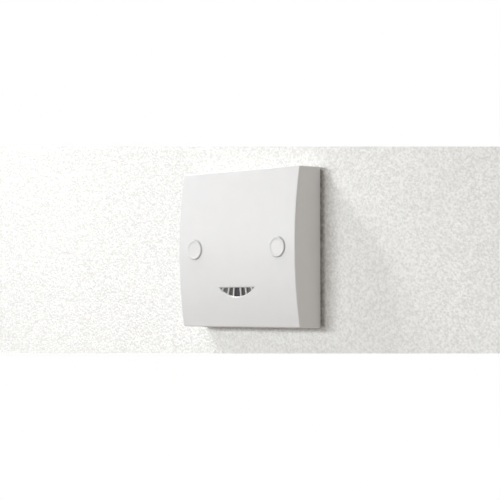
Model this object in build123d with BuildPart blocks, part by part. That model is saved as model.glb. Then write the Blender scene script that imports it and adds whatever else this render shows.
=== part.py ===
from build123d import *
import math
import os

# A wall-mounted microwave presence sensor on a single 86 mm plate.
# X is to the right as seen from the room, Y goes into the wall and Z is up.
# Every depth is measured from the wall towards the room, so what sits in
# the wall box has a negative depth. All sizes are in millimetres.

# Cover: the square plate with drafted sides and a bowed face
plate_size = 86.0
corner_depth = 16.7
face_bow = 3.94
side_draft = 1.8
plate_corner_radius = 1.2
front_edge_radius = 0.6
cover_wall = 2.0
rim_gap = 0.3
rib_thickness = 1.2
rib_height = 6.0

# Box screws, on the standard single-gang pitch, and the tubes that take them
box_screw_pitch = 60.3
thread_radius = 1.75
shank_radius = 1.55
screw_length = 35.0
screw_head_radius = 3.3
screw_head_height = 2.4
screw_point = 0.6
thread_start_gap = 0.1
head_slot_width = 0.9
head_slot_depth = 1.1
head_seat_depth = 8.0
head_seat_web = 2.0
shank_clearance = 0.45
head_bore_radius = 4.2
tube_wall = 1.4
tube_core_radius = 3.4
flange_hole_clearance = 1.25

# Screw caps
cap_radius = 5.4
cap_gap = 0.3
cap_proud = 0.9
cap_recess_depth = 1.2
cap_collar_length = 4.2
cap_dish_depth = 0.35
cap_dish_floor_radius = 3.7
cap_rim_width = 0.7
cap_edge_radius = 0.5
cap_spigot_wall = 0.8
cap_spigot_length = 3.0

# Smile window: a flat-topped crescent with fanned bars and a smoked lens
smile_radius = 18.9
smile_centre_rise = 35.85
smile_top_drop = 14.0
smile_chamfer = 0.5
bar_places = (2.55, 6.5, 11.2)
bar_thickness = 0.7
bar_front_depth = 18.9
fan_apex_rise = 12.2
lens_margin = 1.0
lens_gap = 0.1
lens_thickness = 1.4
lens_front_depth = 18.0
hood_wall = 1.2
hood_lip = 0.2

# Rear housing: a flange inside the cover and a box that goes into the wall
flange_gap = 0.5
flange_thickness = 2.0
flange_corner_radius = 1.5
lip_thickness = 1.2
lip_height = 1.6
box_width = 50.0
box_height = 60.0
box_depth = 24.0
box_wall = 1.8
box_corner_radius = 3.0
box_edge_radius = 1.0
post_radius = 2.4
post_inset = 3.4

# Boards and their screws
board_thickness = 1.6
board_gap = 0.3
board_corner_radius = 1.0
power_board_face = -4.0
control_board_foot = 8.0
control_board_side_gap = 0.5
control_board_margin = 3.5
board_screw_radius = 1.1
board_screw_head_radius = 2.1
board_screw_head_height = 1.4
board_screw_grip = 5.0
board_hole_clearance = 0.3
pilot_gap = 0.05
cross_slot_length = 2.4
cross_slot_width = 0.6
cross_slot_depth = 0.8

# Terminal block, its rising cages, their contact bars and clamping screws
terminal_count = 4
terminal_pitch = 7.62
terminal_end_wall = 0.6
terminal_gap = 0.2
terminal_rear_proud = 0.4
terminal_face_inset = 0.2
terminal_face_wall = 1.8
terminal_back_wall = 2.1
terminal_floor = 1.0
cage_width = 5.8
cage_length = 7.0
cage_height = 9.0
cage_side_wall = 0.7
cage_floor_wall = 1.1
cage_thread_wall = 1.2
cage_gap = 0.15
cage_travel = 3.5
cage_corner_radius = 0.5
contact_width = 3.8
contact_thickness = 0.9
contact_gap = 0.3
contact_leg_thickness = 0.7
contact_pin_width = 1.0
pin_gap = 0.2
contact_pin_reach = 1.4
clamp_screw_radius = 1.5
clamp_thread_gap = 0.3
clamp_head_radius = 2.4
clamp_head_height = 2.0
clamp_bore_gap = 0.35
clamp_web = 1.2
clamp_slot_width = 0.8
clamp_slot_depth = 1.0

# Parts on the power board: sizes are (across, up, off the board), each z is a
# height from the board's middle, an edge gap is to the board's nearer edge, and
# headroom is what a tall part leaves free under the floor of the box
column_gap = 2.1
relay_width = 10.2
relay_height = 28.4
relay_z = 6.6
relay_edge_gap = 2.2
relay_headroom = 1.4
mains_capacitor_height = 7.0
mains_capacitor_z = 17.4
mains_capacitor_edge_gap = 1.75
mains_capacitor_headroom = 3.6
chip_shift = -0.8
rectifier_size = (8.4, 6.4, 3.0)
rectifier_z = -12.4
supply_chip_size = (9.4, 6.4, 3.4)
supply_chip_z = -3.4
supply_capacitor_radius = 5.0
supply_capacitor_headroom = 2.6
supply_capacitor_z = 16.4
output_capacitor_radius = 3.15
output_capacitor_headroom = 7.6
output_capacitor_z = 5.2
can_groove_depth = 0.4
can_groove_width = 0.8
can_groove_height = 2.0
can_bevel = 0.5
transformer_width = 13.5
transformer_height = 4.4
transformer_z = 2.6
transformer_edge_gap = 3.75
transformer_headroom = 5.0
transformer_leg_width = 3.4
transformer_yoke = 2.0
transformer_window_width = 3.0
winding_gap = 0.1
winding_height = 11.4
winding_corner_radius = 1.6
varistor_radius = 4.5
varistor_thickness = 4.0
varistor_z = -11.4
varistor_bevel = 1.2
varistor_stand = 0.8
varistor_lead_pitch = 5.0
varistor_lead_radius = 0.4
fuse_radius = 4.2
fuse_length = 7.8
fuse_z = -11.4
fuse_edge_gap = 2.3
moulding_edge = 0.4

# Link between the two boards
link_size = (15.2, 5.0)
link_place = (0.0, -6.4)
link_socket_height = 8.5
link_header_width = 2.5
link_header_height = 2.5
link_pin_count = 5
link_pin_pitch = 2.54
link_pin_width = 0.64
link_pin_reach = 1.2
link_pin_grip = 4.5
link_hole_width = 1.0
link_hole_depth = 6.0

# Microwave module on the control board
antenna_size = (34.0, 36.0)
antenna_thickness = 0.8
antenna_place = (0.0, 15.0)
antenna_pin_count = 4
antenna_header_size = (12.7, 2.5)
antenna_header_inset = 2.2
patch_size = (8.4, 11.0)
patch_pitch = (15.0, 15.0)
patch_feed_width = 0.8
patch_thickness = 0.2
shield_size = (28.0, 24.0, 3.6)
shield_corner_radius = 1.0
shield_sheet = 0.4

# Other parts on the control board, each rise being from the board's lower edge
processor_size = (9.0, 9.0, 1.4)
processor_x = -10.2
processor_rise = 23.8
crystal_size = (10.0, 4.0, 3.2)
crystal_x = 12.6
crystal_rise = 29.0
chip_size = (2.0, 1.25, 0.7)
chip_pitch = (3.6, 2.8)
chip_columns = 4
chip_rows = 3
chips_x = 11.0
chips_rise = 22.4
window_parts_drop = 2.5
infrared_receiver_size = (5.8, 6.6)
infrared_receiver_x = -6.4
infrared_dome_radius = 1.9
light_sensor_radius = 2.4
light_sensor_x = 6.4
status_light_radius = 1.5
bulb_collar_width = 0.4
bulb_collar_height = 1.0
window_part_gap = 0.5

# Sizes that follow from the ones above
crown_depth = corner_depth + face_bow
half_face = plate_size / 2 - corner_depth * math.tan(math.radians(side_draft))
face_radius = (half_face**2 + face_bow**2) / (2 * face_bow)
smile_centre = smile_centre_rise - plate_size / 2
smile_top = smile_centre - smile_top_drop
fan_apex = smile_centre + fan_apex_rise
window_parts_z = smile_top - window_parts_drop
screw_hole_radius = shank_radius + shank_clearance
flange_hole_radius = thread_radius + flange_hole_clearance
cap_recess_radius = cap_radius + cap_gap
cap_collar_radius = cap_recess_radius + tube_wall
cap_seat_depth = crown_depth - cap_recess_depth
tube_radius = head_bore_radius + tube_wall
rib_foot = corner_depth - cover_wall - rib_height
lens_back_depth = lens_front_depth - lens_thickness
hood_foot = lens_back_depth - hood_lip
flange_size = plate_size - 2 * (cover_wall + flange_gap)
box_inner_width = box_width - 2 * box_wall
box_inner_height = box_height - 2 * box_wall
box_floor_depth = -(box_depth - box_wall)
power_board_back = power_board_face - board_thickness
power_board_width = box_inner_width - 2 * board_gap
power_board_height = box_inner_height - 2 * board_gap
power_post_pitch_x = power_board_width - 2 * post_inset
power_post_pitch_z = power_board_height - 2 * post_inset
control_board_face = control_board_foot + board_thickness
control_board_width = box_screw_pitch - 2 * (cap_collar_radius + control_board_side_gap)
control_board_height = flange_size - 2 * control_board_margin
control_post_pitch_x = control_board_width - 2 * post_inset
control_post_pitch_z = control_board_height - 2 * post_inset
control_board_low = -control_board_height / 2
board_hole_radius = board_screw_radius + board_hole_clearance
window_part_height = lens_back_depth - window_part_gap - control_board_face

# Places on the power board, from its edges inwards
power_board_edge = power_board_width / 2
part_headroom = power_board_back - box_floor_depth
relay_x = power_board_edge - relay_edge_gap - relay_width / 2
supply_column = relay_x - relay_width / 2 - column_gap - supply_capacitor_radius
mains_capacitor_left = mains_capacitor_edge_gap - power_board_edge
mains_capacitor_right = supply_column - supply_capacitor_radius - column_gap
transformer_x = transformer_edge_gap + transformer_width / 2 - power_board_edge
fuse_x = fuse_edge_gap + fuse_radius - power_board_edge
chip_column = supply_column + chip_shift
rectifier_left = chip_column - rectifier_size[0] / 2
varistor_x = (fuse_x + fuse_radius + rectifier_left) / 2

# Places inside the terminal block, from its wire face and the power board
terminal_width = terminal_count * terminal_pitch + 2 * terminal_end_wall
terminal_wire_face = -box_height / 2 + terminal_face_inset
cage_cavity_low = terminal_wire_face + terminal_face_wall
cage_cavity_length = cage_length + 2 * cage_gap
terminal_height = terminal_face_wall + cage_cavity_length + terminal_back_wall
terminal_top = terminal_wire_face + terminal_height
terminal_rear = -(box_depth + terminal_rear_proud)
cage_middle = cage_cavity_low + cage_cavity_length / 2
cage_floor_depth = power_board_back - terminal_floor - cage_gap
cage_top_depth = cage_floor_depth - cage_height
cage_inner_width = cage_width - 2 * cage_side_wall
contact_rear_depth = cage_top_depth + cage_thread_wall + contact_gap
contact_front_depth = contact_rear_depth + contact_thickness
wire_entry_front = cage_floor_depth - cage_floor_wall
clamp_web_front = cage_top_depth - cage_travel - cage_gap
clamp_web_rear = clamp_web_front - clamp_web
clamp_tip_depth = contact_rear_depth - contact_gap
terminal_leg_z = cage_cavity_low + cage_cavity_length + contact_leg_thickness
terminal_middle_z = (terminal_wire_face + terminal_top) / 2


def room(depth):
    """A plane parallel to the wall, this far in front of it and facing the room."""
    return Plane.XZ.offset(depth)


def lathe(place, depth, facing):
    """A plane for turned profiles: own X is a radius, own Y a height above the depth.

    facing is 1 for a piece that stands towards the room and -1 towards the wall.
    """
    return Plane(origin=(place[0], -depth, place[1]), x_dir=(1, 0, 0), z_dir=(0, 0, -facing))


def spin(place):
    """The line square to the wall through (x, z), which the turned profiles go round."""
    return Axis((place[0], 0, place[1]), (0, -1, 0))


def save(piece, name):
    """Label a finished piece and write it to its own file."""
    piece.part.label = name
    export_step(piece.part, f"parts/{name}.step")


os.makedirs("parts", exist_ok=True)


# Cover
def bowed_block(size, corner_radius, crown):
    """A block on the wall with drafted sides and a face bowed about a level axis."""
    with BuildPart() as block:
        with BuildSketch(room(rim_gap)):
            RectangleRounded(size, size, corner_radius)
        extrude(amount=crown, taper=side_draft)
        with BuildSketch(Plane.YZ):
            with Locations((face_radius - crown_depth, 0)):
                Circle(face_radius - crown_depth + crown)
        extrude(amount=size, both=True, mode=Mode.INTERSECT)
    return block.part


def crescent(grow):
    """The smile's outline, grown by a margin all round."""
    radius = smile_radius + grow
    top = smile_top + grow
    half_width = math.sqrt(radius**2 - (top - smile_centre) ** 2)
    with BuildSketch() as outline:
        with BuildLine():
            ThreePointArc((-half_width, top), (0, smile_centre - radius), (half_width, top))
            Line((half_width, top), (-half_width, top))
        make_face()
    return outline.sketch


def fanned_bars():
    """The bars across the smile, each leaning out from one apex above it."""
    middle = (smile_top + smile_centre - smile_radius) / 2
    with BuildSketch() as bars:
        for place in bar_places:
            lean = math.degrees(math.atan(place / (fan_apex - middle)))
            for side in (-1, 1):
                with Locations(Location((side * place, middle), side * lean)):
                    Rectangle(bar_thickness, smile_radius)
        add(crescent(bar_thickness / 2), mode=Mode.INTERSECT)
    return bars.sketch


# The core fills the inside of the cover: its slots and holes leave the
# screw tubes, cap collars, ribs and the hood that holds the lens.
with BuildPart() as cover_core:
    add(bowed_block(plate_size - 2 * cover_wall, plate_corner_radius, crown_depth - cover_wall))
    with BuildSketch(room(flange_thickness)):
        with GridLocations(box_screw_pitch, 0, 2, 1):
            Circle(tube_radius)
    extrude(amount=crown_depth, mode=Mode.SUBTRACT)
    with BuildSketch(room(cap_seat_depth - cap_collar_length)):
        with GridLocations(box_screw_pitch, 0, 2, 1):
            Circle(cap_collar_radius)
    extrude(amount=crown_depth, mode=Mode.SUBTRACT)
    with BuildSketch(room(rib_foot)):
        with GridLocations(box_screw_pitch, 0, 2, 1):
            Rectangle(rib_thickness, plate_size)
        with GridLocations(plate_size, 0, 2, 1):
            Rectangle(plate_size - box_screw_pitch, rib_thickness)
    extrude(amount=crown_depth, mode=Mode.SUBTRACT)
    with BuildSketch(room(hood_foot)):
        add(crescent(lens_margin + lens_gap + hood_wall))
    extrude(amount=crown_depth, mode=Mode.SUBTRACT)

with BuildPart() as front_cover:
    add(bowed_block(plate_size, plate_corner_radius, crown_depth))
    fillet(front_cover.faces().sort_by(Axis.Y).first.edges(), front_edge_radius)
    add(cover_core.part, mode=Mode.SUBTRACT)
    with BuildSketch(room(hood_foot)):
        add(crescent(lens_margin + lens_gap))
    extrude(amount=lens_front_depth - hood_foot, mode=Mode.SUBTRACT)
    with BuildSketch(room(lens_front_depth)):
        add(crescent(0))
    extrude(amount=crown_depth, mode=Mode.SUBTRACT)
    smile_edges = front_cover.faces().sort_by(Axis.Y).first.inner_wires()[0].edges()
    chamfer(smile_edges, smile_chamfer)
    with BuildSketch(room(lens_front_depth)):
        add(fanned_bars())
    extrude(amount=bar_front_depth - lens_front_depth)
    with Locations(room(crown_depth)):
        with GridLocations(box_screw_pitch, 0, 2, 1):
            Hole(cap_recess_radius, cap_recess_depth)
            CounterBoreHole(screw_hole_radius, head_bore_radius, crown_depth - head_seat_depth)
    with BuildSketch(room(flange_thickness)):
        with GridLocations(box_screw_pitch, 0, 2, 1):
            Circle(tube_core_radius)
    extrude(amount=head_seat_depth - head_seat_web - flange_thickness, mode=Mode.SUBTRACT)
save(front_cover, "front_cover")

with BuildPart() as window_lens:
    with BuildSketch(room(lens_back_depth)):
        add(crescent(lens_margin))
    extrude(amount=lens_thickness)
save(window_lens, "window_lens")


# Screw caps
def screw_cap(place):
    """A dished button with a short spigot that plugs the screw's bore."""
    rim_height = cap_recess_depth + cap_proud
    dish_height = rim_height - cap_dish_depth
    rim_radius = cap_radius - cap_rim_width
    spigot_radius = head_bore_radius - cap_gap
    spigot_inner = spigot_radius - cap_spigot_wall
    with BuildPart() as cap:
        with BuildSketch(lathe(place, cap_seat_depth, 1)):
            with BuildLine():
                Polyline(
                    (0, 0),
                    (0, dish_height),
                    (cap_dish_floor_radius, dish_height),
                    (rim_radius, rim_height),
                    (cap_radius, rim_height),
                    (cap_radius, 0),
                    (spigot_radius, 0),
                    (spigot_radius, -cap_spigot_length),
                    (spigot_inner, -cap_spigot_length),
                    (spigot_inner, 0),
                    close=True,
                )
            make_face()
        revolve(axis=spin(place))
        top_circles = cap.edges().filter_by(GeomType.CIRCLE).group_by(Axis.Y)[0]
        fillet(top_circles, cap_edge_radius)
    return cap


# Screws
def dome_arc(radius, side, top):
    """Three points of the arc from a round head's side to its middle, level at the top."""
    rise = top - side
    curve = (radius**2 + rise**2) / (2 * rise)
    halfway = (radius / 2, top - curve + math.sqrt(curve**2 - radius**2 / 4))
    return (radius, side), halfway, (0, top)


def turned_screw(place, seat, facing, head, slot, stem):
    """A slotted screw whose domed head sits on a seat and faces the room or the wall.

    stem lists the (radius, length) of each stretch, from the seat to the point.
    """
    head_radius, head_height = head
    slot_width, slot_depth = slot
    with BuildPart() as screw:
        with BuildSketch(lathe(place, seat, facing)):
            with BuildLine():
                Polyline((0, head_height), (0, 0), (head_radius, 0), (head_radius, head_height / 2))
                ThreePointArc(*dome_arc(head_radius, head_height / 2, head_height))
            make_face()
        revolve(axis=spin(place))
        with BuildSketch(room(seat + facing * head_height)):
            with Locations(place):
                Rectangle(2 * head_radius, slot_width)
        extrude(amount=-facing * slot_depth, mode=Mode.SUBTRACT)
        stretch_start = seat
        for radius, length in stem:
            with BuildSketch(room(stretch_start)):
                with Locations(place):
                    Circle(radius)
            extrude(amount=-facing * length)
            stretch_start -= facing * length
        point = screw.faces().sort_by(Axis.Y)[-1 if facing > 0 else 0]
        chamfer(point.edges(), screw_point)
    return screw


fixing_shank_length = head_seat_depth - flange_thickness + thread_start_gap
for side, centre in (("left", -box_screw_pitch / 2), ("right", box_screw_pitch / 2)):
    save(screw_cap((centre, 0)), f"screw_cap_{side}")
    fixing_screw = turned_screw(
        place=(centre, 0),
        seat=head_seat_depth,
        facing=1,
        head=(screw_head_radius, screw_head_height),
        slot=(head_slot_width, head_slot_depth),
        stem=(
            (shank_radius, fixing_shank_length),
            (thread_radius, screw_length - fixing_shank_length),
        ),
    )
    save(fixing_screw, f"fixing_screw_{side}")


# Rear housing
with BuildPart() as rear_housing:
    with BuildSketch(room(0)):
        RectangleRounded(flange_size, flange_size, flange_corner_radius)
    extrude(amount=flange_thickness)
    with BuildSketch(room(flange_thickness)):
        RectangleRounded(flange_size, flange_size, flange_corner_radius)
        offset(amount=-lip_thickness, mode=Mode.SUBTRACT)
    extrude(amount=lip_height)
    with BuildSketch(room(0)):
        RectangleRounded(box_width, box_height, box_corner_radius)
    extrude(amount=-box_depth)
    fillet(rear_housing.faces().sort_by(Axis.Y).last.edges(), box_edge_radius)
    with BuildSketch(room(flange_thickness)):
        RectangleRounded(box_inner_width, box_inner_height, box_corner_radius - box_wall)
    extrude(amount=box_floor_depth - flange_thickness, mode=Mode.SUBTRACT)
    with BuildSketch(room(box_floor_depth)):
        with GridLocations(power_post_pitch_x, power_post_pitch_z, 2, 2):
            Circle(post_radius)
    extrude(amount=power_board_back - box_floor_depth)
    with BuildSketch(room(flange_thickness)):
        with GridLocations(control_post_pitch_x, control_post_pitch_z, 2, 2):
            Circle(post_radius)
    extrude(amount=control_board_foot - flange_thickness)
    with Locations(room(flange_thickness)):
        with GridLocations(box_screw_pitch, 0, 2, 1):
            Hole(flange_hole_radius, 2 * flange_thickness)
    with Locations(room(power_board_back)):
        with GridLocations(power_post_pitch_x, power_post_pitch_z, 2, 2):
            Hole(board_screw_radius + pilot_gap, board_screw_grip)
    with Locations(room(control_board_foot)):
        with GridLocations(control_post_pitch_x, control_post_pitch_z, 2, 2):
            Hole(board_screw_radius + pilot_gap, board_screw_grip)
    with BuildSketch(room(power_board_back)):
        with Locations((0, terminal_middle_z)):
            Rectangle(terminal_width + 2 * terminal_gap, terminal_height + 2 * terminal_gap)
    extrude(amount=-box_depth, mode=Mode.SUBTRACT)
save(rear_housing, "rear_housing")


# Boards
def board_screws(pitch_x, pitch_z, face):
    """Four short self-tapping screws with cross slots, their heads on a board's face."""
    with BuildPart() as screws:
        with BuildSketch(room(face - board_thickness - board_screw_grip)):
            with GridLocations(pitch_x, pitch_z, 2, 2):
                Circle(board_screw_radius)
        extrude(amount=board_thickness + board_screw_grip)
        with BuildSketch(room(face)):
            with GridLocations(pitch_x, pitch_z, 2, 2):
                Circle(board_screw_head_radius)
        extrude(amount=board_screw_head_height)
        with BuildSketch(room(face + board_screw_head_height)):
            with GridLocations(pitch_x, pitch_z, 2, 2):
                Rectangle(cross_slot_length, cross_slot_width)
                Rectangle(cross_slot_width, cross_slot_length)
        extrude(amount=-cross_slot_depth, mode=Mode.SUBTRACT)
    return screws


with BuildPart() as power_board:
    with BuildSketch(room(power_board_back)):
        RectangleRounded(power_board_width, power_board_height, board_corner_radius)
        with GridLocations(power_post_pitch_x, power_post_pitch_z, 2, 2):
            Circle(board_hole_radius, mode=Mode.SUBTRACT)
        with Locations((0, terminal_leg_z)):
            with GridLocations(terminal_pitch, 0, terminal_count, 1):
                Rectangle(
                    contact_pin_width + 2 * pin_gap,
                    contact_leg_thickness + 2 * pin_gap,
                    mode=Mode.SUBTRACT,
                )
    extrude(amount=board_thickness)
save(power_board, "power_board")

with BuildPart() as control_board:
    with BuildSketch(room(control_board_foot)):
        RectangleRounded(control_board_width, control_board_height, board_corner_radius)
        with GridLocations(control_post_pitch_x, control_post_pitch_z, 2, 2):
            Circle(board_hole_radius, mode=Mode.SUBTRACT)
        with Locations(link_place):
            with GridLocations(link_pin_pitch, 0, link_pin_count, 1):
                Rectangle(link_hole_width, link_hole_width, mode=Mode.SUBTRACT)
    extrude(amount=board_thickness)
save(control_board, "control_board")

power_board_screws = board_screws(power_post_pitch_x, power_post_pitch_z, power_board_face)
save(power_board_screws, "power_board_screws")
control_board_screws = board_screws(control_post_pitch_x, control_post_pitch_z, control_board_face)
save(control_board_screws, "control_board_screws")


# Terminal block
with BuildPart() as terminal_block:
    with BuildSketch(room(terminal_rear)):
        with Locations((0, terminal_middle_z)):
            Rectangle(terminal_width, terminal_height)
    extrude(amount=power_board_back - terminal_rear)
    chamfer(terminal_block.edges().filter_by(Axis.X).group_by(Axis.Y)[-1], moulding_edge)
    with BuildSketch(room(power_board_back - terminal_floor)):
        with Locations((0, cage_middle)):
            with GridLocations(terminal_pitch, 0, terminal_count, 1):
                Rectangle(cage_width + 2 * cage_gap, cage_cavity_length)
    extrude(amount=clamp_web_front - power_board_back + terminal_floor, mode=Mode.SUBTRACT)
    with BuildSketch(room(contact_rear_depth)):
        with Locations((0, terminal_leg_z)):
            with GridLocations(terminal_pitch, 0, terminal_count, 1):
                Rectangle(contact_width, 2 * contact_leg_thickness)
    extrude(amount=power_board_back - contact_rear_depth, mode=Mode.SUBTRACT)
    with BuildSketch(room(clamp_web_front)):
        with Locations((0, cage_middle)):
            with GridLocations(terminal_pitch, 0, terminal_count, 1):
                Circle(clamp_screw_radius + clamp_thread_gap)
    extrude(amount=-clamp_web, mode=Mode.SUBTRACT)
    with BuildSketch(room(clamp_web_rear)):
        with Locations((0, cage_middle)):
            with GridLocations(terminal_pitch, 0, terminal_count, 1):
                Circle(clamp_head_radius + clamp_bore_gap)
    extrude(amount=terminal_rear - clamp_web_rear, mode=Mode.SUBTRACT)
    with BuildSketch(Plane.XY.offset(terminal_wire_face)):
        with Locations((0, -(wire_entry_front + contact_front_depth) / 2)):
            with GridLocations(terminal_pitch, 0, terminal_count, 1):
                Rectangle(cage_inner_width, wire_entry_front - contact_front_depth)
    extrude(amount=terminal_face_wall, mode=Mode.SUBTRACT)
save(terminal_block, "terminal_block")

# Each contact is a bar inside its cage, with a leg down to the power board
terminal_places = [
    (number - (terminal_count - 1) / 2) * terminal_pitch for number in range(terminal_count)
]
contact_low = cage_cavity_low + cage_gap
contact_high = terminal_leg_z + contact_leg_thickness / 2

with BuildPart() as terminal_contacts:
    for centre in terminal_places:
        with BuildSketch(Plane.YZ.offset(centre)):
            with BuildLine():
                Polyline(
                    (-contact_rear_depth, contact_low),
                    (-contact_rear_depth, contact_high),
                    (-power_board_back, contact_high),
                    (-power_board_back, contact_high - contact_leg_thickness),
                    (-contact_front_depth, contact_high - contact_leg_thickness),
                    (-contact_front_depth, contact_low),
                    close=True,
                )
            make_face()
        extrude(amount=contact_width / 2, both=True)
        with BuildSketch(room(power_board_back)):
            with Locations((centre, terminal_leg_z)):
                Rectangle(contact_pin_width, contact_leg_thickness)
        extrude(amount=board_thickness + contact_pin_reach)
save(terminal_contacts, "terminal_contacts")


def terminal_cage(centre):
    """A square tube that a wire enters from below, drilled in its rear wall for the screw."""
    window_height = cage_height - cage_floor_wall - cage_thread_wall
    window_middle = cage_floor_depth - cage_floor_wall - window_height / 2
    with BuildPart() as cage:
        with BuildSketch(Plane.XY.offset(cage_cavity_low + cage_gap)):
            with Locations((centre, -(cage_floor_depth + cage_top_depth) / 2)):
                RectangleRounded(cage_width, cage_height, cage_corner_radius)
            with Locations((centre, -window_middle)):
                Rectangle(cage_inner_width, window_height, mode=Mode.SUBTRACT)
        extrude(amount=cage_length)
        with BuildSketch(room(cage_top_depth)):
            with Locations((centre, cage_middle)):
                Circle(clamp_screw_radius + clamp_thread_gap)
        extrude(amount=cage_thread_wall, mode=Mode.SUBTRACT)
    return cage


for number, centre in enumerate(terminal_places, start=1):
    save(terminal_cage(centre), f"terminal_cage_{number}")
    clamp_screw = turned_screw(
        place=(centre, cage_middle),
        seat=clamp_web_rear,
        facing=-1,
        head=(clamp_head_radius, clamp_head_height),
        slot=(clamp_slot_width, clamp_slot_depth),
        stem=((clamp_screw_radius, clamp_tip_depth - clamp_web_rear),),
    )
    save(clamp_screw, f"terminal_screw_{number}")


# Parts on the power board
def moulded_block(size, place, face, facing):
    """A moulded block standing on a board, with its far edges rounded."""
    width, height, length = size
    with BuildPart() as block:
        with BuildSketch(room(face)):
            with Locations(place):
                Rectangle(width, height)
        extrude(amount=facing * length)
        far_face = block.faces().sort_by(Axis.Y)[0 if facing > 0 else -1]
        fillet(far_face.edges(), moulding_edge)
    return block


def electrolytic_can(radius, length, place):
    """A round can on the power board, rolled in near its foot, with a bevelled end."""
    groove_high = can_groove_height + can_groove_width
    with BuildPart() as can:
        with BuildSketch(lathe(place, power_board_back, -1)):
            with BuildLine():
                Polyline(
                    (0, 0),
                    (radius, 0),
                    (radius, can_groove_height),
                    (radius - can_groove_depth, can_groove_height + can_groove_width / 2),
                    (radius, groove_high),
                    (radius, length - can_bevel),
                    (radius - can_bevel, length),
                    (0, length),
                    close=True,
                )
            make_face()
        revolve(axis=spin(place))
    return can


relay_block = (relay_width, relay_height, part_headroom - relay_headroom)
save(moulded_block(relay_block, (relay_x, relay_z), power_board_back, -1), "relay")

mains_capacitor = moulded_block(
    size=(
        mains_capacitor_right - mains_capacitor_left,
        mains_capacitor_height,
        part_headroom - mains_capacitor_headroom,
    ),
    place=((mains_capacitor_left + mains_capacitor_right) / 2, mains_capacitor_z),
    face=power_board_back,
    facing=-1,
)
save(mains_capacitor, "mains_capacitor")

rectifier = moulded_block(rectifier_size, (chip_column, rectifier_z), power_board_back, -1)
save(rectifier, "rectifier")
supply_chip = moulded_block(supply_chip_size, (chip_column, supply_chip_z), power_board_back, -1)
save(supply_chip, "supply_chip")
supply_capacitor = electrolytic_can(
    supply_capacitor_radius,
    part_headroom - supply_capacitor_headroom,
    (supply_column, supply_capacitor_z),
)
save(supply_capacitor, "supply_capacitor")
output_capacitor = electrolytic_can(
    output_capacitor_radius,
    part_headroom - output_capacitor_headroom,
    (supply_column, output_capacitor_z),
)
save(output_capacitor, "output_capacitor")

# The transformer's core is a frame with a middle leg that the winding goes round
core_length = part_headroom - transformer_headroom
core_middle = power_board_back - core_length / 2
window_length = core_length - 2 * transformer_yoke
window_pitch = transformer_leg_width + transformer_window_width
winding_width = transformer_leg_width + 2 * (transformer_window_width - winding_gap)
winding_length = window_length - 2 * winding_gap

with BuildPart() as transformer_core:
    with BuildSketch(Plane.XY.offset(transformer_z - transformer_height / 2)):
        with Locations((transformer_x, -core_middle)):
            Rectangle(transformer_width, core_length)
            with GridLocations(window_pitch, 0, 2, 1):
                Rectangle(transformer_window_width, window_length, mode=Mode.SUBTRACT)
    extrude(amount=transformer_height)
save(transformer_core, "transformer_core")

with BuildPart() as transformer_winding:
    with BuildSketch(room(core_middle - winding_length / 2)):
        with Locations((transformer_x, transformer_z)):
            RectangleRounded(winding_width, winding_height, winding_corner_radius)
            Rectangle(
                transformer_leg_width + 2 * winding_gap,
                transformer_height + 2 * winding_gap,
                mode=Mode.SUBTRACT,
            )
    extrude(amount=winding_length)
save(transformer_winding, "transformer_winding")

# The varistor is a coated disc that stands on its edge on two leads
varistor_middle = power_board_back - varistor_stand - varistor_radius

with BuildPart() as varistor:
    with BuildSketch(Plane.YZ.offset(varistor_x - varistor_thickness / 2)):
        with Locations((-varistor_middle, varistor_z)):
            Circle(varistor_radius)
    extrude(amount=varistor_thickness)
    chamfer(varistor.edges().filter_by(GeomType.CIRCLE), varistor_bevel)
    with BuildSketch(room(power_board_back)):
        with Locations((varistor_x, varistor_z)):
            with GridLocations(0, varistor_lead_pitch, 1, 2):
                Circle(varistor_lead_radius)
    extrude(amount=varistor_middle - power_board_back)
save(varistor, "varistor")

with BuildPart() as fuse:
    with BuildSketch(room(power_board_back)):
        with Locations((fuse_x, fuse_z)):
            Circle(fuse_radius)
    extrude(amount=-fuse_length)
    chamfer(fuse.faces().sort_by(Axis.Y).last.edges(), moulding_edge)
save(fuse, "fuse")

# Link between the boards: a socket on the power board takes the header's pins
with BuildPart() as link_socket:
    with BuildSketch(room(power_board_face)):
        with Locations(link_place):
            Rectangle(*link_size)
    extrude(amount=link_socket_height)
    with BuildSketch(room(power_board_face + link_socket_height)):
        with Locations(link_place):
            with GridLocations(link_pin_pitch, 0, link_pin_count, 1):
                Rectangle(link_hole_width, link_hole_width)
    extrude(amount=-link_hole_depth, mode=Mode.SUBTRACT)
save(link_socket, "link_socket")

link_pin_length = control_board_foot - power_board_face - link_socket_height + link_pin_grip

with BuildPart() as link_header:
    with BuildSketch(room(control_board_foot)):
        with Locations(link_place):
            Rectangle(link_size[0], link_header_width)
    extrude(amount=-link_header_height)
    with BuildSketch(room(control_board_face + link_pin_reach)):
        with Locations(link_place):
            with GridLocations(link_pin_pitch, 0, link_pin_count, 1):
                Rectangle(link_pin_width, link_pin_width)
    extrude(amount=-(link_pin_reach + board_thickness + link_pin_length))
save(link_header, "link_header")

# Microwave module: antenna board, its copper patches and the can behind it
antenna_back = control_board_face + shield_size[2]
antenna_face = antenna_back + antenna_thickness
antenna_header_place = (
    antenna_place[0],
    antenna_place[1] - antenna_size[1] / 2 + antenna_header_inset,
)

with BuildPart() as antenna_board:
    with BuildSketch(room(antenna_back)):
        with Locations(antenna_place):
            RectangleRounded(*antenna_size, board_corner_radius)
        with Locations(antenna_header_place):
            with GridLocations(link_pin_pitch, 0, antenna_pin_count, 1):
                Rectangle(link_hole_width, link_hole_width, mode=Mode.SUBTRACT)
    extrude(amount=antenna_thickness)
save(antenna_board, "antenna_board")

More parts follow.
